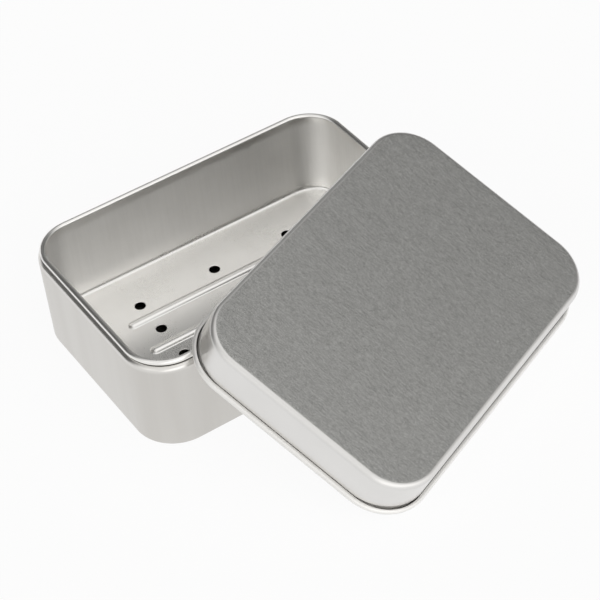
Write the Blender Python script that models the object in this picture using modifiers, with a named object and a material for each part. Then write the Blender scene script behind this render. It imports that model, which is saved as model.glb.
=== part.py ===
"""Soap box: a drawn-aluminium tin of three nesting pieces, with its lid off and leaning on the mouth.

Metres, +Z up. The origin is the middle of the box's underside, and +X runs along the box's length.
Each piece is one pressed sheet. Its leading face is lofted through rounded rectangles along a side
profile, and Solidify gives it the sheet's thickness behind that face. A profile point is an inset
from the outline and a height, and the leading face lies to the left of the profile's run.
"""
import math

import bmesh
import bpy
import numpy as np
from mathutils import Euler

MM = 0.001

# Box body
BOX_LENGTH = 104.0 * MM
BOX_WIDTH = 72.3 * MM
BOX_CORNER_RADIUS = 13.2 * MM
BOX_HEIGHT = 29.7 * MM
BOX_SHEET = 0.5 * MM
BOX_DRAFT = 0.2 * MM
BOX_BOTTOM_RADIUS = 1.0 * MM
BOX_SHOULDER_RADIUS = 1.5 * MM
BOX_FLANGE_LAND = 0.25 * MM

# Drain tray
TRAY_SHEET = 0.4 * MM
TRAY_BEAD_RADIUS = 0.85 * MM
TRAY_DRAFT = 0.3 * MM
TRAY_FLOOR_RADIUS = 2.5 * MM
SUMP_DEPTH = 2.3 * MM

# Drain holes, with a pressed rib between each two rows of them. Margins are from the box's outside
HOLE_DIAMETER = 3.3 * MM
HOLE_COLUMNS = 3
HOLE_ROWS = 4
HOLE_END_MARGIN = 25.85 * MM
HOLE_SIDE_MARGIN = 17.5 * MM
RIB_END_MARGIN = 18.0 * MM
RIB_HEIGHT = 1.0 * MM
RIB_CREST_WIDTH = 0.6 * MM
RIB_CREST_RADIUS = 1.0 * MM
RIB_FOOT_RADIUS = 0.5 * MM
RIB_APRON = 0.4 * MM

# Lid
LID_CLEARANCE = 0.35 * MM
LID_SHEET = 0.4 * MM
LID_HEIGHT = 13.3 * MM
LID_DRAFT = 0.35 * MM
LID_EDGE_RADIUS = 1.6 * MM
LID_BEAD_RADIUS = 0.9 * MM

# Where the lid leans: its middle from the middle of the box's front, in plan, and its turn about +Z
LID_ASIDE = 19.3 * MM
LID_FORWARD = 9.1 * MM
LID_TURN = math.radians(22.7)

# Fits
SEAT_GAP = 0.3 * MM
PANEL_LAND = 1.0 * MM
HOLE_OVERRUN = 0.5 * MM
CONTACT_STEP = 0.5 * MM

# Fineness
CORNER_STEPS = 8
RIB_END_STEPS = 4
BEAD_STEPS = 5
BEND_STEPS = 4
RIB_STEPS = 3
HOLE_SIDES = 20
SHARP_ANGLE = math.radians(40)
STEEPEST_LEAN = math.radians(75)
LEAN_HALVINGS = 30

# Insets and heights that follow from the sizes above
TRAY_WALL_INSET = BOX_SHOULDER_RADIUS + BOX_FLANGE_LAND + SEAT_GAP + TRAY_SHEET
TRAY_BEAD_INSET = TRAY_WALL_INSET - TRAY_BEAD_RADIUS
TRAY_BEAD_HEIGHT = BOX_HEIGHT + SEAT_GAP + TRAY_BEAD_RADIUS
TRAY_FLOOR_TOP = BOX_SHEET + SUMP_DEPTH + TRAY_SHEET
HOLE_PITCH_X = (BOX_LENGTH - 2 * HOLE_END_MARGIN) / (HOLE_COLUMNS - 1)
HOLE_PITCH_Y = (BOX_WIDTH - 2 * HOLE_SIDE_MARGIN) / (HOLE_ROWS - 1)
LID_LENGTH_INSIDE = BOX_LENGTH + 2 * LID_CLEARANCE
LID_WIDTH_INSIDE = BOX_WIDTH + 2 * LID_CLEARANCE
LID_RADIUS_INSIDE = BOX_CORNER_RADIUS + LID_CLEARANCE

# Finishes
SATIN = dict(colour=(0.62, 0.60, 0.57), roughness=0.38)
BRIGHT = dict(colour=(0.60, 0.59, 0.56), roughness=0.32)
BRUSHED = dict(colour=(0.42, 0.42, 0.40), roughness=0.45)


def clear_scene():
    for item in list(bpy.data.objects):
        bpy.data.objects.remove(item, do_unlink=True)


def new_collection(name):
    collection = bpy.data.collections.new(name)
    bpy.context.scene.collection.children.link(collection)
    return collection


def aluminium(name, colour, roughness):
    material = bpy.data.materials.new(name)
    material.use_nodes = True
    shader = material.node_tree.nodes["Principled BSDF"]
    shader.inputs["Base Color"].default_value = (*colour, 1)
    shader.inputs["Roughness"].default_value = roughness
    shader.inputs["Metallic"].default_value = 1
    return material


def arc(centre_inset, centre_height, radius, start, end, steps):
    """Profile points on an arc, in degrees: 0 points inwards along the inset, 90 points up."""
    angles = [math.radians(start + (end - start) * i / steps) for i in range(steps + 1)]
    return [(centre_inset + radius * math.cos(a), centre_height + radius * math.sin(a)) for a in angles]


def corner_centres(length, width, radius):
    """Middles of a rounded rectangle's corner arcs, counter-clockwise from +X +Y."""
    x = length / 2 - radius
    y = width / 2 - radius
    return [(x, y), (-x, y), (-x, -y), (x, -y)]


def outline(centres, radius, steps=CORNER_STEPS, first=0):
    """Points of equal arcs about the centres, counter-clockwise, the first from the angle given."""
    sweep = 2 * math.pi / len(centres)
    points = []
    for turn, (x, y) in enumerate(centres):
        for step in range(steps + 1):
            angle = first + sweep * (turn + step / steps)
            points.append((x + radius * math.cos(angle), y + radius * math.sin(angle)))
    return points


def loft(mesh, centres, radius, profile, steps=CORNER_STEPS, first=0):
    """Skins round-cornered outlines from ring to ring along the profile, and returns the rings."""
    rings = []
    for inset, height in profile:
        points = outline(centres, radius - inset, steps, first)
        rings.append([mesh.verts.new((x, y, height)) for x, y in points])
    for ring, following in zip(rings, rings[1:]):
        for i in range(len(ring)):
            mesh.faces.new((ring[i - 1], ring[i], following[i], following[i - 1]))
    return rings


def box_centres():
    return corner_centres(BOX_LENGTH, BOX_WIDTH, BOX_CORNER_RADIUS)


def lid_centres():
    return corner_centres(LID_LENGTH_INSIDE, LID_WIDTH_INSIDE, LID_RADIUS_INSIDE)


def ring_edges(mesh, ring):
    return [mesh.edges.get((ring[i - 1], ring[i])) for i in range(len(ring))]


def sheet_object(mesh, name, collection, thickness):
    """Object of a lofted face, with the sheet's thickness behind it, the same round every bend."""
    data = bpy.data.meshes.new(name)
    mesh.to_mesh(data)
    mesh.free()
    data.shade_smooth()
    data.set_sharp_from_angle(angle=SHARP_ANGLE)
    item = bpy.data.objects.new(name, data)
    collection.objects.link(item)
    solidify = item.modifiers.new("sheet", "SOLIDIFY")
    solidify.thickness = thickness
    solidify.offset = -1
    solidify.use_even_offset = True
    solidify.use_quality_normals = True
    return item


def box_body(parts):
    """Outer tin: flat bottom, near-upright wall, and a rolled shoulder whose flange carries the tray."""
    bottom_inset = BOX_DRAFT + BOX_BOTTOM_RADIUS
    shoulder_inset = BOX_SHOULDER_RADIUS
    profile = [
        (bottom_inset + PANEL_LAND, 0),
        *arc(bottom_inset, BOX_BOTTOM_RADIUS, BOX_BOTTOM_RADIUS, 270, 180, BEND_STEPS),
        *arc(shoulder_inset, BOX_HEIGHT - BOX_SHOULDER_RADIUS, BOX_SHOULDER_RADIUS, 180, 90, BEAD_STEPS),
        (shoulder_inset + BOX_FLANGE_LAND, BOX_HEIGHT),
    ]
    mesh = bmesh.new()
    rings = loft(mesh, box_centres(), BOX_CORNER_RADIUS, profile)
    mesh.faces.new(reversed(rings[0]))
    body = sheet_object(mesh, "box_body", parts, BOX_SHEET)
    body.data.materials.append(aluminium("satin_tin", **SATIN))


def rib_profile():
    """Side of a pressed rib: flat apron, hollow foot and round crest, the two arcs tangent."""
    steepest = math.degrees(math.acos(1 - RIB_HEIGHT / (RIB_FOOT_RADIUS + RIB_CREST_RADIUS)))
    flank = (RIB_FOOT_RADIUS + RIB_CREST_RADIUS) * math.sin(math.radians(steepest))
    foot = arc(RIB_APRON, TRAY_FLOOR_TOP + RIB_FOOT_RADIUS, RIB_FOOT_RADIUS, -90, steepest - 90, RIB_STEPS)
    crest_height = TRAY_FLOOR_TOP + RIB_HEIGHT - RIB_CREST_RADIUS
    crest = arc(RIB_APRON + flank, crest_height, RIB_CREST_RADIUS, 90 + steepest, 90, RIB_STEPS)
    return [(0, TRAY_FLOOR_TOP), *foot, *crest[1:]], RIB_APRON + flank + RIB_CREST_WIDTH / 2


def add_ribs(mesh):
    """Ribs midway between the rows of holes, and the edges that the floor is filled up to."""
    profile, half_width = rib_profile()
    edges = []
    for rib in range(HOLE_ROWS - 1):
        y = (rib - (HOLE_ROWS - 2) / 2) * HOLE_PITCH_Y
        x = BOX_LENGTH / 2 - RIB_END_MARGIN + RIB_APRON - half_width
        rings = loft(mesh, [(x, y), (-x, y)], half_width, profile, RIB_END_STEPS, -math.pi / 2)
        mesh.faces.new(rings[-1])
        edges += ring_edges(mesh, rings[0])
    return edges


def drain_cutters(tools):
    for row in range(HOLE_ROWS):
        for column in range(HOLE_COLUMNS):
            x = (column - (HOLE_COLUMNS - 1) / 2) * HOLE_PITCH_X
            y = (row - (HOLE_ROWS - 1) / 2) * HOLE_PITCH_Y
            bpy.ops.mesh.primitive_cylinder_add(
                vertices=HOLE_SIDES, radius=HOLE_DIAMETER / 2, depth=TRAY_SHEET + 2 * HOLE_OVERRUN,
                location=(x, y, TRAY_FLOOR_TOP - TRAY_SHEET / 2))
            cutter = bpy.context.object
            cutter.name = f"drain_cutter_{row}_{column}"
            cutter.hide_render = True
            cutter.display_type = "WIRE"
            for owner in list(cutter.users_collection):
                owner.objects.unlink(cutter)
            tools.objects.link(cutter)


def drain_tray(parts, tools):
    """Liner: edge curled outwards and under onto the body's flange, drafted wall, pierced ribbed floor."""
    fillet_inset = TRAY_WALL_INSET + TRAY_DRAFT + TRAY_FLOOR_RADIUS
    fillet_height = TRAY_FLOOR_TOP + TRAY_FLOOR_RADIUS
    profile = [
        *arc(TRAY_BEAD_INSET, TRAY_BEAD_HEIGHT, TRAY_BEAD_RADIUS, 270, 0, 3 * BEAD_STEPS),
        *arc(fillet_inset, fillet_height, TRAY_FLOOR_RADIUS, 180, 270, BEND_STEPS),
        (fillet_inset + PANEL_LAND, TRAY_FLOOR_TOP),
    ]
    mesh = bmesh.new()
    rings = loft(mesh, box_centres(), BOX_CORNER_RADIUS, profile)
    floor_edges = ring_edges(mesh, rings[-1]) + add_ribs(mesh)
    bmesh.ops.triangle_fill(mesh, use_beauty=True, edges=floor_edges, normal=(0, 0, 1))
    tray = sheet_object(mesh, "drain_tray", parts, TRAY_SHEET)
    drain_cutters(tools)
    holes = tray.modifiers.new("drain_holes", "BOOLEAN")
    holes.operand_type = "COLLECTION"
    holes.collection = tools
    tray.data.materials.append(aluminium("bright_tin", **BRIGHT))


def lid(parts):
    """Cover: flat panel, rounded edge, skirt, and an edge curled outwards through three quarters."""
    edge_radius = LID_EDGE_RADIUS - LID_SHEET
    panel_height = LID_HEIGHT - LID_SHEET
    edge_inset = LID_DRAFT + edge_radius
    profile = [
        (edge_inset + PANEL_LAND, panel_height),
        *arc(edge_inset, panel_height - edge_radius, edge_radius, 90, 180, BEND_STEPS),
        *arc(-LID_BEAD_RADIUS, LID_BEAD_RADIUS, LID_BEAD_RADIUS, 0, -270, 3 * BEAD_STEPS),
    ]
    mesh = bmesh.new()
    rings = loft(mesh, lid_centres(), LID_RADIUS_INSIDE, profile)
    mesh.faces.new(reversed(rings[0]))
    cover = sheet_object(mesh, "lid", parts, LID_SHEET)
    cover.data.materials.append(aluminium("brushed_tin", **BRUSHED))
    lean = resting_lean()
    cover.rotation_euler = lid_turn(lean)
    cover.location = lid_place(lean)


def lid_turn(lean):
    return Euler((lean, 0, LID_TURN))


def lid_place(lean):
    """Place of the middle of the lid's mouth, with its front bead on the table."""
    reach = LID_WIDTH_INSIDE / 2 + LID_BEAD_RADIUS
    height = LID_BEAD_RADIUS * (1 - math.cos(lean)) + reach * math.sin(lean)
    return (LID_ASIDE, -BOX_WIDTH / 2 - LID_FORWARD, height)


def bead_line(centres, radius, height):
    """Close-set points along the middle of a bead."""
    corners = np.array(outline(centres, radius))
    points = []
    for start, end in zip(corners, np.roll(corners, -1, axis=0)):
        count = max(1, math.ceil(np.linalg.norm(end - start) / CONTACT_STEP))
        points += [start + (end - start) * i / count for i in range(count)]
    return np.column_stack([points, np.full(len(points), height)])


def inside_box(points):
    """Which points lie over the box, within the middle line of the tray's bead."""
    past = np.abs(points[:, :2]) - box_centres()[0]
    return np.linalg.norm(np.maximum(past, 0), axis=1) < BOX_CORNER_RADIUS - TRAY_BEAD_INSET


def lid_gap(lean, rim, bead):
    """Least gap between the leaning lid and the tray's bead, negative where the lid would cut it."""
    turn = np.array(lid_turn(lean).to_matrix())
    place = np.array(lid_place(lean))
    lifted = bead @ turn.T + place
    sunk = lifted[inside_box(lifted), 2] - rim[0, 2]
    if sunk.size and sunk.min() < 0:
        return sunk.min()
    spread = np.linalg.norm(rim[:, None] - lifted[None], axis=2).min()
    bead_gap = spread - TRAY_BEAD_RADIUS - LID_BEAD_RADIUS
    local = (rim - place) @ turn
    half = np.array([LID_LENGTH_INSIDE, LID_WIDTH_INSIDE]) / 2 - LID_DRAFT - LID_EDGE_RADIUS
    under = (np.abs(local[:, :2]) < half).all(axis=1)
    highest = local[under, 2].max(initial=-LID_HEIGHT)
    return min(bead_gap, LID_HEIGHT - LID_SHEET - TRAY_BEAD_RADIUS - highest)


def resting_lean():
    """Angle at which the lid, with its front bead on the table, just clears the tray's bead."""
    rim = bead_line(box_centres(), BOX_CORNER_RADIUS - TRAY_BEAD_INSET, TRAY_BEAD_HEIGHT)
    bead = bead_line(lid_centres(), LID_RADIUS_INSIDE + LID_BEAD_RADIUS, LID_BEAD_RADIUS)
    low, high = 0, STEEPEST_LEAN
    for _ in range(LEAN_HALVINGS):
        middle = (low + high) / 2
        if lid_gap(middle, rim, bead) < SEAT_GAP:
            low = middle
        else:
            high = middle
    return high


def main():
    clear_scene()
    parts = new_collection("soap_box")
    tools = new_collection("drain_tools")
    box_body(parts)
    drain_tray(parts, tools)
    lid(parts)
    bpy.context.view_layer.update()


main()
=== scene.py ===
"""Looks of a drawn-aluminium soap tin: pressed shells in satin and brushed metal, in a pale studio."""
import math

import bmesh
import bpy
import numpy as np
from mathutils import Matrix, Vector


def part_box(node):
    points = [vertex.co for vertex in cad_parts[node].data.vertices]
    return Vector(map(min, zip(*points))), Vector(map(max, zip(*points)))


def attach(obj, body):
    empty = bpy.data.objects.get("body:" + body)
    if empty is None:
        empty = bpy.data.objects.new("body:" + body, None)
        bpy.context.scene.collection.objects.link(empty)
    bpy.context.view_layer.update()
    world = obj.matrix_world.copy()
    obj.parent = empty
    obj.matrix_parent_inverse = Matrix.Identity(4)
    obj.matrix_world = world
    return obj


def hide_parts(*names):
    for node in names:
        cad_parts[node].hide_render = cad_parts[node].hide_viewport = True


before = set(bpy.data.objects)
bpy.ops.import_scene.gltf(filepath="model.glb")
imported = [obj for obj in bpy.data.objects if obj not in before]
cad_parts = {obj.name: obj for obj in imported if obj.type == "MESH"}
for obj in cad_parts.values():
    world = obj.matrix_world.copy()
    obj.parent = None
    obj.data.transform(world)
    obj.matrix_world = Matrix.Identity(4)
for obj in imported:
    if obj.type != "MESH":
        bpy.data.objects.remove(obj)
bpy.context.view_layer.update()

MM = 0.001

# Flat ring between each panel and the bend round it
PANEL_LAND = 1.0 * MM

# Box body, whose outside comes from the frame
BOX_LOW, BOX_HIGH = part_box("box_body")
BOX_LENGTH, BOX_WIDTH, BOX_HEIGHT = BOX_HIGH - BOX_LOW
BOX_CORNER_RADIUS = 13.2 * MM
BOX_SHEET = 0.5 * MM
BOX_DRAFT = 0.2 * MM
BOX_BOTTOM_RADIUS = 1.0 * MM
BOX_SHOULDER_RADIUS = 1.5 * MM
BOX_FLANGE_LAND = 0.25 * MM
# Depth of the painted shade on the seat under the tray's bead
SEAT_SHADE_DEPTH = 0.05 * MM

# Drain tray, whose bead comes from the frame
TRAY_LOW, TRAY_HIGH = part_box("drain_tray")
TRAY_SHEET = 0.4 * MM
TRAY_BEAD_RADIUS = 0.85 * MM
TRAY_DRAFT = 0.3 * MM
TRAY_FLOOR_RADIUS = 1.2 * MM
TRAY_FLOOR_TOP = TRAY_LOW.z + TRAY_SHEET
TRAY_BEAD_INSET = BOX_HIGH.x - TRAY_HIGH.x + TRAY_BEAD_RADIUS
TRAY_WALL_INSET = TRAY_BEAD_INSET + TRAY_BEAD_RADIUS
TRAY_BEAD_HEIGHT = TRAY_HIGH.z - TRAY_BEAD_RADIUS

# Drain holes and ribs, with margins from the box's outside and a rib between each two rows of holes
HOLE_DIAMETER = 3.3 * MM
HOLE_ROLL = 0.2 * MM
HOLE_LAND = 0.2 * MM
HOLE_COLUMNS = 3
HOLE_ROWS = 4
HOLE_END_MARGIN = 25.85 * MM
HOLE_SIDE_MARGIN = 17.5 * MM
HOLE_PITCH_X = (BOX_LENGTH - 2 * HOLE_END_MARGIN) / (HOLE_COLUMNS - 1)
HOLE_PITCH_Y = (BOX_WIDTH - 2 * HOLE_SIDE_MARGIN) / (HOLE_ROWS - 1)
HOLE_PATCH_RADIUS = HOLE_DIAMETER / 2 + HOLE_ROLL + HOLE_LAND
FRONT_SHIFT = 0.7 * MM
RIB_ROWS = HOLE_ROWS - 1
RIB_END_MARGIN = 18.0 * MM
RIB_HEIGHT = 0.85 * MM
RIB_CREST_WIDTH = 0.1 * MM
RIB_CREST_RADIUS = 1.7 * MM
RIB_FOOT_RADIUS = 0.7 * MM
RIB_APRON = 0.3 * MM

# Lid
LID_CLEARANCE = 0.35 * MM
LID_SHEET = 0.4 * MM
LID_HEIGHT = 13.3 * MM
LID_DRAFT = 0.35 * MM
LID_EDGE_RADIUS = 1.6 * MM
LID_BEAD_RADIUS = 0.9 * MM
LID_CURL_GAP = 0.1 * MM
LID_CORNER_CURL_GAP = 0.5 * MM
LID_LENGTH_INSIDE = BOX_LENGTH + 2 * LID_CLEARANCE
LID_WIDTH_INSIDE = BOX_WIDTH + 2 * LID_CLEARANCE
LID_RADIUS_INSIDE = BOX_CORNER_RADIUS + LID_CLEARANCE

# Fineness
CORNER_STEPS = 32
BEND_STEPS = 12
BEAD_STEPS = 12
CURL_STEPS = 3 * BEAD_STEPS
RIB_STEPS = 8
RIB_END_STEPS = 12
HOLE_STEPS = 40
ROLL_STEPS = 5
WELD = 0.001 * MM
SAME_PLACE_DIGITS = 7
SHARP_ANGLE = math.radians(35)

# Noise textures: features in a metre, detail, roughness, and how each axis is squeezed to draw them out
NOISES = {
    "grain": (3500, 2, 0.5, (1, 1, 1)),
    "clouds": (60, 3, 0.5, (1, 1, 1)),
    "body bands": (130, 3, 0.5, (1, 1, 0.06)),
    "body streaks": (1500, 2, 0.5, (1, 1, 0.03)),
    "tray waves": (70, 1, 0.5, (1, 1, 0.6)),
    "tray streaks": (1300, 2, 0.5, (1, 1, 0.05)),
    "lid clouds": (70, 2, 0.5, (1, 1, 1)),
    "lid streaks": (10500, 2, 0.6, (1, 0.05, 1)),
    "lid speckle": (8500, 1, 0.6, (1, 1, 1)),
    "lid flecks": (4500, 1, 0.5, (1, 1, 1)),
}
# Part of a noise's range that goes from none to all
WIDE_SPAN = (0.3, 0.7)
TRAY_STREAK_SPAN = (0.35, 0.65)
LID_STREAK_SPAN = (0.38, 0.62)
LID_SPECKLE_SPAN = (0.42, 0.58)
LID_FLECK_SPAN = (0.68, 0.76)

# Body's finish: a span gives the heights between which a part of it sets in, and relief is in millimetres
BODY_COLOURS = ((0.595, 0.578, 0.55, 1), (0.64, 0.625, 0.598, 1))
# Lighter colour along the rounded top of the wall: a painted highlight
SHOULDER_HIGHLIGHT_COLOUR = (0.80, 0.785, 0.76, 1)
SHOULDER_HIGHLIGHT_SPAN = (BOX_HEIGHT - 1.5 * BOX_SHOULDER_RADIUS, BOX_HEIGHT)
# Near-black colour on the top of the body: painted shade in the crevice under the tray's bead
SEAT_SHADE_COLOUR = (0.08, 0.078, 0.075, 1)
SEAT_SHADE_SPAN = (BOX_HEIGHT - SEAT_SHADE_DEPTH, BOX_HEIGHT)
BODY_BAND_SHARE = 0.7
BODY_ROUGHNESS = 0.25
BODY_STREAK_ROUGHNESS = 0.06
BODY_GRAIN_ROUGHNESS = 0.04
BODY_RELIEF = 0.002

# Tray's finish, with the same spans of height and reliefs in millimetres
TRAY_FLOOR_COLOURS = ((0.865, 0.855, 0.833, 1), (0.91, 0.90, 0.878, 1))
# Walls painted lighter than the floor of the same sheet: painted light
TRAY_WALL_PAINTED_LIGHT_COLOURS = ((0.895, 0.887, 0.868, 1), (0.945, 0.937, 0.918, 1))
TRAY_WALL_SPAN = (1.5 * TRAY_FLOOR_TOP, 3 * TRAY_FLOOR_TOP)
TRAY_RIM_SPAN = (TRAY_BEAD_HEIGHT - 4 * TRAY_BEAD_RADIUS, TRAY_BEAD_HEIGHT - TRAY_BEAD_RADIUS)
TRAY_STREAK_SHARE = 0.4
TRAY_ROUGHNESS = 0.23
TRAY_WALL_ROUGHNESS = 0.20
TRAY_RIM_ROUGHNESS = 0.01
TRAY_CLOUD_ROUGHNESS = 0.06
TRAY_GRAIN_ROUGHNESS = 0.04
TRAY_GRAIN_RELIEF = 0.0006
TRAY_WAVE_RELIEF = 0.06

# Finish of the lid's inside, with relief in millimetres
INSIDE_COLOURS = ((0.86, 0.85, 0.83, 1), (0.90, 0.89, 0.87, 1))
INSIDE_ROUGHNESS = 0.5
INSIDE_CLOUD_ROUGHNESS = 0.08
INSIDE_RELIEF = 0.004

# Lid's finish, matte on the panel and half matte round its edge, with relief in millimetres
LID_PANEL_COLOURS = ((0.27, 0.27, 0.262, 1), (0.78, 0.78, 0.76, 1))
LID_EDGE_COLOURS = ((0.72, 0.713, 0.697, 1), (0.79, 0.78, 0.766, 1))
LID_STREAK_SHARE = 0.35
LID_FLECK_SHARE = 0.5
EDGE_MATTE_SHARE = 0.5
MATTE_FADE_STEPS = 3
LID_ROUGHNESS = 0.28
LID_EDGE_ROUGHNESS = 0.13
LID_PANEL_ROUGHNESS = 0.01
LID_TEXTURE_ROUGHNESS = 0.10
LID_RELIEF = 0.001

# Camera, whose sensor is given in millimetres
SENSOR_WIDTH = 36.0
FOCAL_PIXELS = 2027
IMAGE_PIXELS = 600
CAMERA_PLACE = (-206.8 * MM, -392.4 * MM, 407.7 * MM)
CAMERA_AIM = (6.3 * MM, -20.1 * MM, 15.0 * MM)
CAMERA_ROLL = math.radians(-5.8)

# Studio, with its floor's size in metres
WHITE = (1, 1, 1, 1)
STUDIO_COLOUR = (1, 0.995, 0.985, 1)
STUDIO_GLOW = 0.84
LEAST_GLOW = 0.06
FLOOR_SIZE = 20
FLOOR_COLOUR = (0.97, 0.97, 0.97, 1)
FLOOR_ROUGHNESS = 0.9
FLOOR_GLOW_SHARE = 0.92
# Strength and direction of each panel, and how many degrees from there it reaches and stays full
STUDIO_PANELS = [
    (0.06, (-0.25, -0.15, 0.95), 45, 20),
    (0.35, (0.25, -0.15, 0.95), 22, 8),
    (0.7, (0, -1, 0), 51, 37),
    (0.9, (-0.12, 0.99, -0.07), 31, 26),
    (0.4, (-0.84, -0.28, 0.42), 25, 9),
    (-0.7, (0.85, 0.15, 0.49), 43, 17),
    (-0.55, (0.35, 0.79, 0.5), 36, 18),
    (-0.82, (-0.38, 0.80, 0.46), 43, 30),
]

# Numbers of the Mix node's colour sockets, whose names repeat
MIX_FACTOR = 0
MIX_FIRST_COLOUR = 6
MIX_SECOND_COLOUR = 7
MIX_BLEND = 2


# Node trees
class Value:
    """One output socket, whose arithmetic adds Math nodes."""

    def __init__(self, nodes, socket):
        self.nodes = nodes
        self.socket = socket

    def maths(self, operation, first, second=0):
        return self.nodes.add("ShaderNodeMath", {"operation": operation}, {0: first, 1: second})

    def __add__(self, other):
        return self.maths("ADD", self, other)

    __radd__ = __add__

    def __sub__(self, other):
        return self.maths("SUBTRACT", self, other)

    def __rsub__(self, other):
        return self.maths("SUBTRACT", other, self)

    def __mul__(self, other):
        return self.maths("MULTIPLY", self, other)

    __rmul__ = __mul__

    def __truediv__(self, other):
        return self.maths("DIVIDE", self, other)

    def __floordiv__(self, other):
        return self.maths("FLOOR", self / other)

    def __mod__(self, other):
        return self.maths("MODULO", self, other)

    def __lt__(self, other):
        return self.maths("LESS_THAN", self, other)

    def at_least(self, least):
        return self.maths("MAXIMUM", self, least)

    def clamped(self):
        return self.nodes.add("ShaderNodeClamp", {}, {"Value": self})


class Nodes:
    """Node tree of a material, of the world or of a geometry modifier."""

    def __init__(self, tree):
        self.tree = tree

    def fill(self, made, values):
        """Links or sets the inputs of a node."""
        for key, value in values.items():
            if isinstance(value, Value):
                self.tree.links.new(value.socket, made.inputs[key])
            else:
                made.inputs[key].default_value = value

    def add(self, kind, settings, values, output=0):
        """Adds a node with its settings and its inputs, and returns one of its outputs."""
        made = self.tree.nodes.new(kind)
        for name, value in settings.items():
            setattr(made, name, value)
        self.fill(made, values)
        return Value(self, made.outputs[output])

    def attribute(self, name, output):
        return self.add("ShaderNodeAttribute", {"attribute_name": name}, {}, output)

    def noise(self, place, title):
        """One of the named noise textures."""
        scale, detail, roughness, squeeze = NOISES[title]
        squeezed = self.add("ShaderNodeMapping", {}, {"Vector": place, "Scale": squeeze})
        values = {"Vector": squeezed, "Scale": scale, "Detail": detail, "Roughness": roughness}
        return self.add("ShaderNodeTexNoise", {}, values)

    def span(self, value, low, high):
        """Smooth step, from 0 where the value is low to 1 where it is high."""
        settings = {"interpolation_type": "SMOOTHSTEP"}
        return self.add("ShaderNodeMapRange", settings, {0: value, 1: low, 2: high})

    def mix(self, factor, first, second):
        """Blend of two colours."""
        values = {MIX_FACTOR: factor, MIX_FIRST_COLOUR: first, MIX_SECOND_COLOUR: second}
        return self.add("ShaderNodeMix", {"data_type": "RGBA"}, values, MIX_BLEND)


def own_nodes(owner):
    """Node tree that a material or the world turns on."""
    owner.use_nodes = True
    return Nodes(owner.node_tree)


# Outlines and sheets
def corner_centres(length, width, radius):
    """Middles of a rounded rectangle's corner arcs, counter-clockwise from +X +Y."""
    x = length / 2 - radius
    y = width / 2 - radius
    return [(x, y), (-x, y), (-x, -y), (x, -y)]


BOX_CENTRES = corner_centres(BOX_LENGTH, BOX_WIDTH, BOX_CORNER_RADIUS)
LID_CENTRES = corner_centres(LID_LENGTH_INSIDE, LID_WIDTH_INSIDE, LID_RADIUS_INSIDE)


def arc(centre_inset, centre_height, radius, start, end, steps):
    """Profile points on an arc, in degrees: 0 points inwards along the inset, 90 points up."""
    angles = [math.radians(start + (end - start) * i / steps) for i in range(steps + 1)]
    return [(centre_inset + radius * math.cos(a), centre_height + radius * math.sin(a)) for a in angles]


def outline(centres, radius, height, steps=CORNER_STEPS, first=0):
    """Points of equal arcs about the centres, counter-clockwise, the first from the angle given."""
    sweep = 2 * math.pi / len(centres)
    last = steps if len(centres) == 1 else steps + 1
    points = []
    for turn, (x, y) in enumerate(centres):
        for step in range(last):
            angle = first + sweep * (turn + step / steps)
            points.append((x + radius * math.cos(angle), y + radius * math.sin(angle), height))
    return points


def loft(mesh, centres, radius, profile, steps=CORNER_STEPS, first=0, corner_profile=None):
    """Skins round-cornered outlines from ring to ring along the profile, and returns the rings.

    A corner profile takes over from the profile towards the middle of each corner."""
    rings = []
    shares = [math.sin(math.pi * step / steps) for step in range(steps + 1)] * len(centres)
    for turn, (inset, height) in enumerate(profile):
        points = outline(centres, radius - inset, height, steps, first)
        if corner_profile:
            corner_inset, corner_height = corner_profile[turn]
            bent = outline(centres, radius - corner_inset, corner_height, steps, first)
            points = [Vector(point).lerp(Vector(other), share)
                      for point, other, share in zip(points, bent, shares)]
        rings.append([mesh.verts.new(point) for point in points])
    for ring, following in zip(rings, rings[1:]):
        for i in range(len(ring)):
            mesh.faces.new((ring[i - 1], ring[i], following[i], following[i - 1]))
    return rings


def open_ring(mesh, points):
    """Closed loop of loose edges that a floor is filled up to."""
    corners = [mesh.verts.new(point) for point in points]
    return [mesh.edges.new((corners[i - 1], corners[i])) for i in range(len(corners))]


def ring_edges(mesh, ring):
    return [mesh.edges.get((ring[i - 1], ring[i])) for i in range(len(ring))]


def sheet_object(mesh, name):
    """Object of a lofted face that remembers where each point lay in the piece's own frame."""
    data = bpy.data.meshes.new(name)
    mesh.to_mesh(data)
    mesh.free()
    places = np.zeros(len(data.vertices) * 3, np.float32)
    data.vertices.foreach_get("co", places)
    data.attributes.new("own_place", "FLOAT_VECTOR", "POINT").data.foreach_set("vector", places)
    item = bpy.data.objects.new(name, data)
    bpy.context.scene.collection.objects.link(item)
    return item


def thicken(item, thickness, leading, trailing):
    """The sheet's even thickness behind its leading face, and the finishes of both faces."""
    solidify = item.modifiers.new("sheet", "SOLIDIFY")
    solidify.thickness = thickness
    solidify.offset = -1
    solidify.use_even_offset = True
    solidify.use_quality_normals = True
    for finish in (leading, trailing):
        if finish.name not in item.data.materials:
            item.data.materials.append(finish)
    solidify.material_offset = len(item.data.materials) - 1


def finished(source, name, place=Matrix.Identity(4)):
    """Plain mesh of the source with its modifiers applied, in place of the CAD node of that name."""
    evaluated = source.evaluated_get(bpy.context.evaluated_depsgraph_get())
    data = bpy.data.meshes.new_from_object(evaluated)
    bpy.data.objects.remove(source)
    data.transform(place)
    data.shade_smooth()
    data.set_sharp_from_angle(angle=SHARP_ANGLE)
    piece = bpy.data.objects.new(name + "_shell", data)
    bpy.context.scene.collection.objects.link(piece)
    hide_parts(name)
    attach(piece, name)
    return piece


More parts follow.
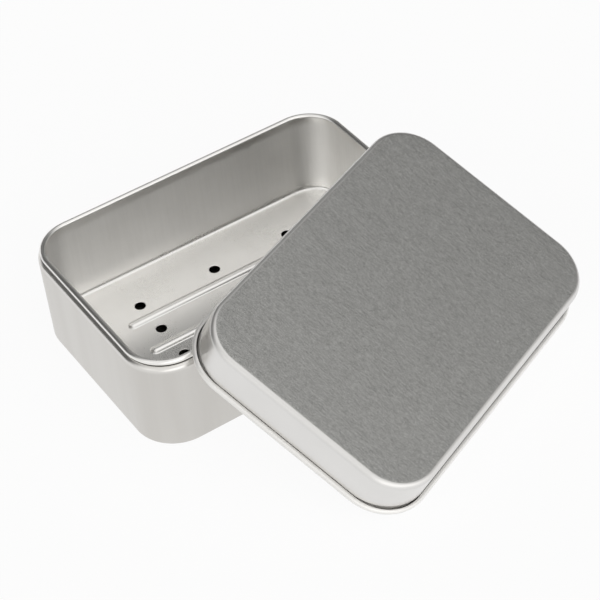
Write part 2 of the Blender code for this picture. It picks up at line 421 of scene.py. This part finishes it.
# Box body
def body_profile():
    bottom_inset = BOX_DRAFT + BOX_BOTTOM_RADIUS
    shoulder_height = BOX_HEIGHT - BOX_SHOULDER_RADIUS
    return [
        (bottom_inset + PANEL_LAND, 0),
        *arc(bottom_inset, BOX_BOTTOM_RADIUS, BOX_BOTTOM_RADIUS, 270, 180, BEND_STEPS),
        *arc(BOX_SHOULDER_RADIUS, shoulder_height, BOX_SHOULDER_RADIUS, 180, 90, BEAD_STEPS),
        (BOX_SHOULDER_RADIUS + BOX_FLANGE_LAND, BOX_HEIGHT),
    ]


def make_body():
    mesh = bmesh.new()
    rings = loft(mesh, BOX_CENTRES, BOX_CORNER_RADIUS, body_profile())
    mesh.faces.new(reversed(rings[0]))
    sheet = sheet_object(mesh, "body_sheet")
    finish = satin_body()
    thicken(sheet, BOX_SHEET, finish, finish)
    piece = finished(sheet, "box_body")


# Drain tray
def tray_profile():
    fillet_inset = TRAY_WALL_INSET + TRAY_DRAFT + TRAY_FLOOR_RADIUS
    fillet_height = TRAY_FLOOR_TOP + TRAY_FLOOR_RADIUS
    return [
        *arc(TRAY_BEAD_INSET, TRAY_BEAD_HEIGHT, TRAY_BEAD_RADIUS, 270, 0, CURL_STEPS),
        *arc(fillet_inset, fillet_height, TRAY_FLOOR_RADIUS, 180, 270, BEND_STEPS),
        (fillet_inset + PANEL_LAND, TRAY_FLOOR_TOP),
    ]


def rib_profile():
    """Side of a pressed rib, as flat apron, hollow foot and round crest, and half the width of it all."""
    steepest = math.degrees(math.acos(1 - RIB_HEIGHT / (RIB_FOOT_RADIUS + RIB_CREST_RADIUS)))
    flank = (RIB_FOOT_RADIUS + RIB_CREST_RADIUS) * math.sin(math.radians(steepest))
    foot = arc(RIB_APRON, TRAY_FLOOR_TOP + RIB_FOOT_RADIUS, RIB_FOOT_RADIUS, -90, steepest - 90, RIB_STEPS)
    crest_height = TRAY_FLOOR_TOP + RIB_HEIGHT - RIB_CREST_RADIUS
    crest = arc(RIB_APRON + flank, crest_height, RIB_CREST_RADIUS, 90 + steepest, 90, RIB_STEPS)
    return [(0, TRAY_FLOOR_TOP), *foot, *crest[1:]], RIB_APRON + flank + RIB_CREST_WIDTH / 2


def rib_centres(half_width):
    x = BOX_LENGTH / 2 - RIB_END_MARGIN + RIB_APRON - half_width
    return [(x, 0), (-x, 0)]


def make_rib_patch():
    """One pressed rib with its apron, at the middle of the floor."""
    profile, half_width = rib_profile()
    mesh = bmesh.new()
    rings = loft(mesh, rib_centres(half_width), half_width, profile, RIB_END_STEPS, -math.pi / 2)
    mesh.faces.new(rings[-1])
    return sheet_object(mesh, "rib_patch")


def make_hole_patch():
    """Flat land round a punched hole, with the edge that the punch rolls in."""
    mesh = bmesh.new()
    roll = arc(HOLE_LAND, TRAY_FLOOR_TOP - HOLE_ROLL, HOLE_ROLL, 90, 0, ROLL_STEPS)
    loft(mesh, [(0, 0)], HOLE_PATCH_RADIUS, [(0, TRAY_FLOOR_TOP), *roll], HOLE_STEPS)
    return sheet_object(mesh, "hole_patch")


def pattern_place(index, columns, rows):
    """One place of a centred pattern whose front half, with any middle row, lies a little forward.

    The index and the counts are plain numbers or Values, and so is the place."""
    column = index % columns
    row = index // columns
    x = (column - (columns - 1) / 2) * HOLE_PITCH_X
    y = (row - (rows - 1) / 2) * HOLE_PITCH_Y - (row < rows / 2) * FRONT_SHIFT
    return x, y


def pattern_places(columns, rows):
    """All places of the pattern, row by row from the front."""
    return [pattern_place(index, columns, rows) for index in range(columns * rows)]


def tray_sheet():
    """Bead, wall and fillet of the tray, and its floor with an opening for each rib and each hole."""
    mesh = bmesh.new()
    rings = loft(mesh, BOX_CENTRES, BOX_CORNER_RADIUS, tray_profile())
    edges = ring_edges(mesh, rings[-1])
    half_width = rib_profile()[1]
    for x, y in pattern_places(1, RIB_ROWS):
        centres = [(end + x, side + y) for end, side in rib_centres(half_width)]
        edges += open_ring(mesh, outline(centres, half_width, TRAY_FLOOR_TOP, RIB_END_STEPS, -math.pi / 2))
    for place in pattern_places(HOLE_COLUMNS, HOLE_ROWS):
        edges += open_ring(mesh, outline([place], HOLE_PATCH_RADIUS, TRAY_FLOOR_TOP, HOLE_STEPS))
    bmesh.ops.triangle_fill(mesh, use_beauty=True, edges=edges, normal=(0, 0, 1))
    return sheet_object(mesh, "tray_sheet")


def pattern_tree():
    """Geometry nodes that set copies of a patch in the pattern and join them to the sheet."""
    tree = bpy.data.node_groups.new("pressed_pattern", "GeometryNodeTree")
    wanted = {"Sheet": "Geometry", "Patch": "Object", "Columns": "Int", "Rows": "Int",
              "Finish": "Material"}
    for title, kind in wanted.items():
        tree.interface.new_socket(title, in_out="INPUT", socket_type="NodeSocket" + kind)
    tree.interface.new_socket("Sheet", in_out="OUTPUT", socket_type="NodeSocketGeometry")
    nodes = Nodes(tree)
    inputs = tree.nodes.new("NodeGroupInput").outputs
    given = {title: Value(nodes, inputs[title]) for title in wanted}

    index = nodes.add("GeometryNodeInputIndex", {}, {})
    x, y = pattern_place(index, given["Columns"], given["Rows"])
    place = nodes.add("ShaderNodeCombineXYZ", {}, {"X": x, "Y": y})
    count = given["Columns"] * given["Rows"]
    points = nodes.add("GeometryNodePoints", {}, {"Count": count, "Position": place})
    patch = nodes.add("GeometryNodeObjectInfo", {}, {"Object": given["Patch"]}, "Geometry")
    copies = nodes.add("GeometryNodeInstanceOnPoints", {}, {"Points": points, "Instance": patch})
    joined = tree.nodes.new("GeometryNodeJoinGeometry")
    for part in (copies, given["Sheet"]):
        nodes.fill(joined, {"Geometry": part})
    real = nodes.add("GeometryNodeRealizeInstances", {}, {"Geometry": Value(nodes, joined.outputs[0])})
    dressed = nodes.add("GeometryNodeSetMaterial", {}, {"Geometry": real, "Material": given["Finish"]})
    nodes.fill(tree.nodes.new("NodeGroupOutput"), {"Sheet": dressed})
    return tree


def set_pattern(item, tree, name, patch, columns, rows, finish):
    pressed = item.modifiers.new(name, "NODES")
    pressed.node_group = tree
    given = {"Patch": patch, "Columns": columns, "Rows": rows, "Finish": finish}
    for socket in tree.interface.items_tree:
        if socket.in_out == "INPUT" and socket.name in given:
            pressed[socket.identifier] = given[socket.name]


def make_tray():
    sheet = tray_sheet()
    rib = make_rib_patch()
    hole = make_hole_patch()
    finish = satin_tray()
    tree = pattern_tree()
    set_pattern(sheet, tree, "ribs", rib, 1, RIB_ROWS, finish)
    set_pattern(sheet, tree, "drain_holes", hole, HOLE_COLUMNS, HOLE_ROWS, finish)
    weld = sheet.modifiers.new("weld", "WELD")
    weld.merge_threshold = WELD
    thicken(sheet, TRAY_SHEET, finish, finish)
    piece = finished(sheet, "drain_tray")
    for patch in (rib, hole):
        bpy.data.objects.remove(patch)


# Lid
def lid_profile(curl_gap):
    """Side of the lid's inner face, whose curl ends with that gap to the skirt."""
    past_top = math.degrees(math.asin((LID_BEAD_RADIUS - LID_SHEET - curl_gap) / LID_BEAD_RADIUS))
    edge_radius = LID_EDGE_RADIUS - LID_SHEET
    edge_inset = LID_DRAFT + edge_radius
    panel_height = LID_HEIGHT - LID_SHEET
    return [
        (edge_inset + PANEL_LAND, panel_height),
        *arc(edge_inset, panel_height - edge_radius, edge_radius, 90, 180, BEND_STEPS),
        *arc(-LID_BEAD_RADIUS, LID_BEAD_RADIUS, LID_BEAD_RADIUS, 0, -270 - past_top, CURL_STEPS),
    ]


def lid_place():
    """Where the CAD lid lies: its solid is symmetric, so its spread gives its own axes."""
    corners = np.array([corner.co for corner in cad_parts["lid"].data.vertices])
    corners = np.unique(corners.round(SAME_PLACE_DIGITS), axis=0)
    middle = corners.mean(axis=0)
    axes = np.linalg.eigh(np.cov((corners - middle).T))[1]
    up = axes[:, 0] * np.sign(axes[2, 0])
    along = axes[:, 2] * np.sign(axes[0, 2])
    across = np.cross(up, along)
    mouth = middle + up * ((corners - middle) @ up).min()
    turn = Matrix(np.column_stack([along, across, up]).tolist()).to_4x4()
    return Matrix.Translation(mouth.tolist()) @ turn


def matte_share(turn):
    """How matte one ring of the lid is: wholly on the panel, partly round its edge, and not below that."""
    if turn > BEND_STEPS:
        return 0
    return max(EDGE_MATTE_SHARE, min(1, 1 - (turn - 1) / MATTE_FADE_STEPS))


def make_lid():
    mesh = bmesh.new()
    matte = mesh.verts.layers.float.new("matte")
    rings = loft(mesh, LID_CENTRES, LID_RADIUS_INSIDE, lid_profile(LID_CURL_GAP),
                 corner_profile=lid_profile(LID_CORNER_CURL_GAP))
    for turn, ring in enumerate(rings):
        for corner in ring:
            corner[matte] = matte_share(turn)
    mesh.faces.new(reversed(rings[0]))
    sheet = sheet_object(mesh, "lid_sheet")
    thicken(sheet, LID_SHEET, matte_inside(), brushed_lid())
    piece = finished(sheet, "lid", lid_place())


# Finishes
def metal(name):
    """New material and its nodes."""
    material = bpy.data.materials.new(name)
    return material, own_nodes(material)


def dress(nodes, colour, roughness, relief):
    """Colour and roughness of bare metal, with a surface relief in millimetres."""
    bump = nodes.add("ShaderNodeBump", {}, {"Height": relief, "Distance": MM, "Strength": 1})
    values = {"Base Color": colour, "Metallic": 1, "Roughness": roughness, "Normal": bump}
    nodes.fill(nodes.tree.nodes["Principled BSDF"], values)


def place_and_height(nodes):
    """Where the metal lies in its piece's own frame, and how high."""
    place = nodes.add("ShaderNodeTexCoord", {}, {}, "Object")
    return place, nodes.add("ShaderNodeSeparateXYZ", {}, {"Vector": place}, "Z")


def satin_body():
    """Smooth drawn wall: upright bands left by the die, fine grain, a painted highlight along the rounded
    top of the wall and painted shade on the seat under the tray's bead.
    """
    material, nodes = metal("satin_body")
    place, height = place_and_height(nodes)
    streaks = nodes.noise(place, "body streaks")
    grain = nodes.noise(place, "grain")
    bands = nodes.span(nodes.noise(place, "body bands"), *WIDE_SPAN)
    shade = bands * BODY_BAND_SHARE + streaks * (1 - BODY_BAND_SHARE)
    wall = nodes.mix(shade, *BODY_COLOURS)
    # Painted highlight along the rounded top of the wall
    highlit_top = nodes.mix(nodes.span(height, *SHOULDER_HIGHLIGHT_SPAN), wall, SHOULDER_HIGHLIGHT_COLOUR)
    # Painted shade on the seat under the tray's bead
    colour = nodes.mix(nodes.span(height, *SEAT_SHADE_SPAN), highlit_top, SEAT_SHADE_COLOUR)
    roughness = BODY_ROUGHNESS + BODY_STREAK_ROUGHNESS * streaks + BODY_GRAIN_ROUGHNESS * grain
    dress(nodes, colour, roughness, (grain + streaks) * BODY_RELIEF)
    return material


def satin_tray():
    """Liner metal with clouds, faint waves and upright streaks, and with walls duller than the rest and
    painted lighter than the floor, as painted light.
    """
    material, nodes = metal("satin_tray")
    place, height = place_and_height(nodes)
    rim = nodes.span(height, *TRAY_RIM_SPAN)
    wall = nodes.span(height, *TRAY_WALL_SPAN) - rim
    clouds = nodes.noise(place, "clouds")
    waves = nodes.noise(place, "tray waves")
    streaks = nodes.noise(place, "tray streaks")
    grain = nodes.noise(place, "grain")
    streaked = TRAY_STREAK_SHARE * wall
    shade = (nodes.span(clouds, *WIDE_SPAN) * (1 - streaked)
             + nodes.span(streaks, *TRAY_STREAK_SPAN) * streaked)
    floor_colour = nodes.mix(shade, *TRAY_FLOOR_COLOURS)
    # Lighter colour on the walls: painted light
    lit_wall_colour = nodes.mix(shade, *TRAY_WALL_PAINTED_LIGHT_COLOURS)
    colour = nodes.mix(wall, floor_colour, lit_wall_colour)
    roughness = (TRAY_ROUGHNESS + TRAY_WALL_ROUGHNESS * wall + TRAY_RIM_ROUGHNESS * rim
                 + TRAY_CLOUD_ROUGHNESS * clouds + TRAY_GRAIN_ROUGHNESS * grain)
    relief = (grain + streaks) * TRAY_GRAIN_RELIEF + wall * waves * TRAY_WAVE_RELIEF
    dress(nodes, colour, roughness, relief)
    return material


def matte_inside():
    """Lid's inside, drawn but never brushed or polished."""
    material, nodes = metal("matte_inside")
    place = nodes.attribute("own_place", "Vector")
    clouds = nodes.noise(place, "clouds")
    colour = nodes.mix(clouds, *INSIDE_COLOURS)
    roughness = INSIDE_ROUGHNESS + INSIDE_CLOUD_ROUGHNESS * clouds
    dress(nodes, colour, roughness, nodes.noise(place, "grain") * INSIDE_RELIEF)
    return material


def brushed_lid():
    """Matte brushed panel of short streaks across the lid, inside smooth bright edges."""
    material, nodes = metal("brushed_lid")
    place = nodes.attribute("own_place", "Vector")
    matte = nodes.attribute("matte", "Fac")
    streaks = nodes.span(nodes.noise(place, "lid streaks"), *LID_STREAK_SPAN)
    speckle = nodes.span(nodes.noise(place, "lid speckle"), *LID_SPECKLE_SPAN)
    flecks = nodes.span(nodes.noise(place, "lid flecks"), *LID_FLECK_SPAN)
    brushed = LID_STREAK_SHARE * streaks + (1 - LID_STREAK_SHARE) * speckle
    texture = brushed + LID_FLECK_SHARE * flecks
    matte_edge = nodes.span(matte, 0, EDGE_MATTE_SHARE)
    matte_panel = nodes.span(matte, EDGE_MATTE_SHARE, 1)
    edge_colour = nodes.mix(nodes.noise(place, "lid clouds"), *LID_EDGE_COLOURS)
    panel_colour = nodes.mix(texture, *LID_PANEL_COLOURS)
    colour = nodes.mix(matte_panel, edge_colour, panel_colour)
    roughness = (LID_ROUGHNESS + LID_EDGE_ROUGHNESS * matte_edge + LID_PANEL_ROUGHNESS * matte_panel
                 + LID_TEXTURE_ROUGHNESS * matte_panel * texture)
    dress(nodes, colour, roughness, texture * matte_panel * LID_RELIEF)
    return material


# Studio
def make_camera():
    data = bpy.data.cameras.new("camera")
    data.sensor_width = SENSOR_WIDTH
    data.lens = FOCAL_PIXELS / IMAGE_PIXELS * SENSOR_WIDTH
    camera = bpy.data.objects.new("camera", data)
    place = Vector(CAMERA_PLACE)
    gaze = (Vector(CAMERA_AIM) - place).to_track_quat("-Z", "Y").to_matrix().to_4x4()
    roll = Matrix.Rotation(CAMERA_ROLL, 4, "Z")
    camera.matrix_world = Matrix.Translation(place) @ gaze @ roll
    bpy.context.scene.collection.objects.link(camera)
    bpy.context.scene.camera = camera


def make_world():
    """Soft studio, with each light or dark panel a round patch of the surroundings with a soft edge."""
    world = bpy.data.worlds.new("studio")
    bpy.context.scene.world = world
    nodes = own_nodes(world)
    way = nodes.add("ShaderNodeTexCoord", {}, {}, "Generated")
    glow = STUDIO_GLOW
    for strength, towards, reach, core in STUDIO_PANELS:
        near = nodes.add("ShaderNodeVectorMath", {"operation": "DOT_PRODUCT"},
                         {0: way, 1: towards}, "Value")
        edge = math.cos(math.radians(reach))
        full = math.cos(math.radians(core))
        glow = glow + strength * nodes.span(near, edge, full)
    values = {"Color": STUDIO_COLOUR, "Strength": glow.at_least(LEAST_GLOW)}
    nodes.fill(nodes.tree.nodes["Background"], values)


def make_floor():
    """Pale table that keeps the object's shadow but shows near white to the eye and in the metal."""
    bpy.ops.mesh.primitive_plane_add(size=FLOOR_SIZE)
    floor = bpy.context.object
    floor.name = "floor"
    material = bpy.data.materials.new("pale_floor")
    nodes = own_nodes(material)
    principled = nodes.tree.nodes["Principled BSDF"]
    nodes.fill(principled, {"Base Color": FLOOR_COLOUR, "Roughness": FLOOR_ROUGHNESS})
    lit = Value(nodes, principled.outputs[0])
    glowing = nodes.add("ShaderNodeEmission", {}, {"Color": WHITE, "Strength": 1})
    seen, glossy, through = [nodes.add("ShaderNodeLightPath", {}, {}, f"Is {kind} Ray")
                             for kind in ("Camera", "Glossy", "Transmission")]
    share = (seen + glossy + through).clamped() * FLOOR_GLOW_SHARE
    both = nodes.add("ShaderNodeMixShader", {}, {0: share, 1: lit, 2: glowing})
    nodes.fill(nodes.tree.nodes["Material Output"], {"Surface": both})
    floor.data.materials.append(material)


make_camera()
make_body()
make_tray()
make_lid()
make_world()
make_floor()
bpy.context.scene.view_settings.view_transform = "Standard"
